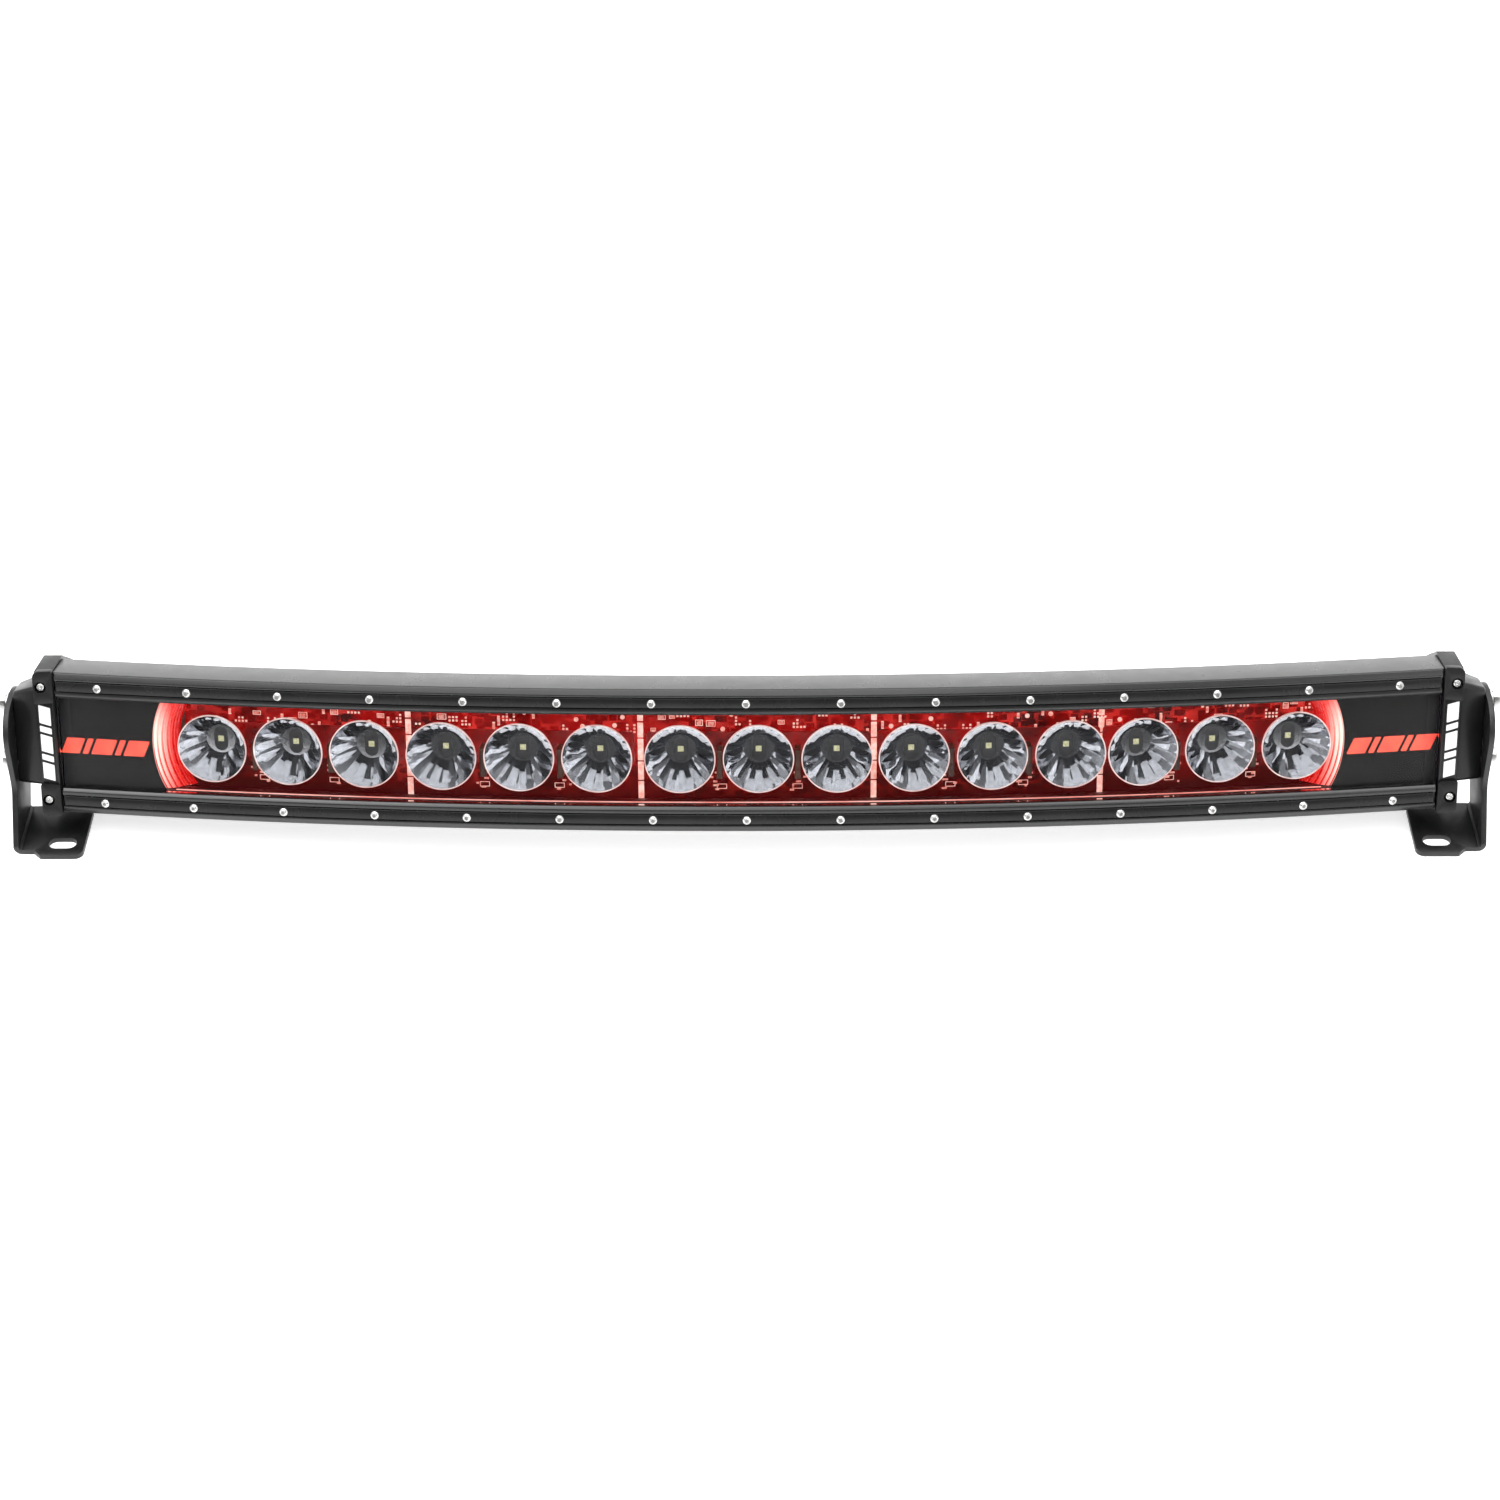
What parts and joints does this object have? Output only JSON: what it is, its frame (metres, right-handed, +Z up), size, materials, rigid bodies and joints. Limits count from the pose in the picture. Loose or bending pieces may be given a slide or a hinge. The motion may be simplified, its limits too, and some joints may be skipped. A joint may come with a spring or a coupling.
{
  "type": "led light bar",
  "caption": "Curved vehicle light bar with faceted reflectors, red backlight and finned housing, held at each end by a tilting slotted foot bracket.",
  "frame": {"origin": "centre of the bounding box in plan, at the undersides of the two feet", "axes": "+X along the bar towards its right end as seen from the front, +Y towards the back of the bar, +Z up and square to the feet"},
  "size_m": [0.8456, 0.1144, 0.1089],
  "materials": {
    "housing_black": "satin black powder coat on an extruded and rolled aluminium housing",
    "rail_black": "satin black powder coat",
    "strip_black": "smooth satin dark grey",
    "screw_stainless": "bright stainless button head",
    "lens_clear": "clear gloss polycarbonate, masked black at both ends",
    "gasket_rubber": "matte black silicone",
    "reflector_chrome": "vacuum-metallised mirror",
    "board_red": "circuit board lit red",
    "guide_red": "ribbed diffuser lit red",
    "cap_black": "satin black powder coat on a casting",
    "bracket_black": "satin black powder coat on bent steel",
    "bolt_zinc": "bright plated hex bolt with washer",
    "nylon_black": "moulded black nylon"
  },
  "bodies": {
    "bar": {"housing": "housing_black", "bezel_rail_top": "rail_black", "retainer_strip_top": "strip_black", "retainer_screw_top_01": "screw_stainless", "retainer_screw_top_02": "screw_stainless", "retainer_screw_top_03": "screw_stainless", "retainer_screw_top_04": "screw_stainless", "retainer_screw_top_05": "screw_stainless", "retainer_screw_top_06": "screw_stainless", "retainer_screw_top_07": "screw_stainless", "retainer_screw_top_08": "screw_stainless", "retainer_screw_top_09": "screw_stainless", "retainer_screw_top_10": "screw_stainless", "retainer_screw_top_11": "screw_stainless", "retainer_screw_top_12": "screw_stainless", "retainer_screw_top_13": "screw_stainless", "retainer_screw_top_14": "screw_stainless", "retainer_screw_top_15": "screw_stainless", "bezel_rail_bottom": "rail_black", "retainer_strip_bottom": "strip_black", "retainer_screw_bottom_01": "screw_stainless", "retainer_screw_bottom_02": "screw_stainless", "retainer_screw_bottom_03": "screw_stainless", "retainer_screw_bottom_04": "screw_stainless", "retainer_screw_bottom_05": "screw_stainless", "retainer_screw_bottom_06": "screw_stainless", "retainer_screw_bottom_07": "screw_stainless", "retainer_screw_bottom_08": "screw_stainless", "retainer_screw_bottom_09": "screw_stainless", "retainer_screw_bottom_10": "screw_stainless", "retainer_screw_bottom_11": "screw_stainless", "retainer_screw_bottom_12": "screw_stainless", "retainer_screw_bottom_13": "screw_stainless", "retainer_screw_bottom_14": "screw_stainless", "retainer_screw_bottom_15": "screw_stainless", "lens": "lens_clear", "lens_gasket": "gasket_rubber", "reflector_module_1": "reflector_chrome", "reflector_module_2": "reflector_chrome", "reflector_module_3": "reflector_chrome", "reflector_module_4": "reflector_chrome", "reflector_module_5": "reflector_chrome", "led_board": "board_red", "light_guide_left": "guide_red", "light_guide_right": "guide_red", "end_cap_left": "cap_black", "cap_screw_left_top": "screw_stainless", "cap_screw_left_bottom": "screw_stainless", "pivot_bolt_left": "bolt_zinc", "lock_bolt_left": "bolt_zinc", "end_cap_right": "cap_black", "cap_screw_right_top": "screw_stainless", "cap_screw_right_bottom": "screw_stainless", "pivot_bolt_right": "bolt_zinc", "lock_bolt_right": "bolt_zinc", "cable_gland": "nylon_black", "breather_vent": "nylon_black"},
    "left_bracket": {"bracket_left": "bracket_black"},
    "right_bracket": {"bracket_right": "bracket_black"}
  },
  "joints": [
    {"name": "left_bracket_pivot", "type": "hinge", "parent": "bar", "child": "left_bracket", "pos_m": [-0.4145, 0.01348, 0.0695], "axis": [1, 0, 0], "range_deg": [-12, 12]},
    {"name": "right_bracket_pivot", "type": "hinge", "parent": "bar", "child": "right_bracket", "pos_m": [0.4145, 0.01348, 0.0695], "axis": [1, 0, 0], "range_deg": [-12, 12]}
  ]
}
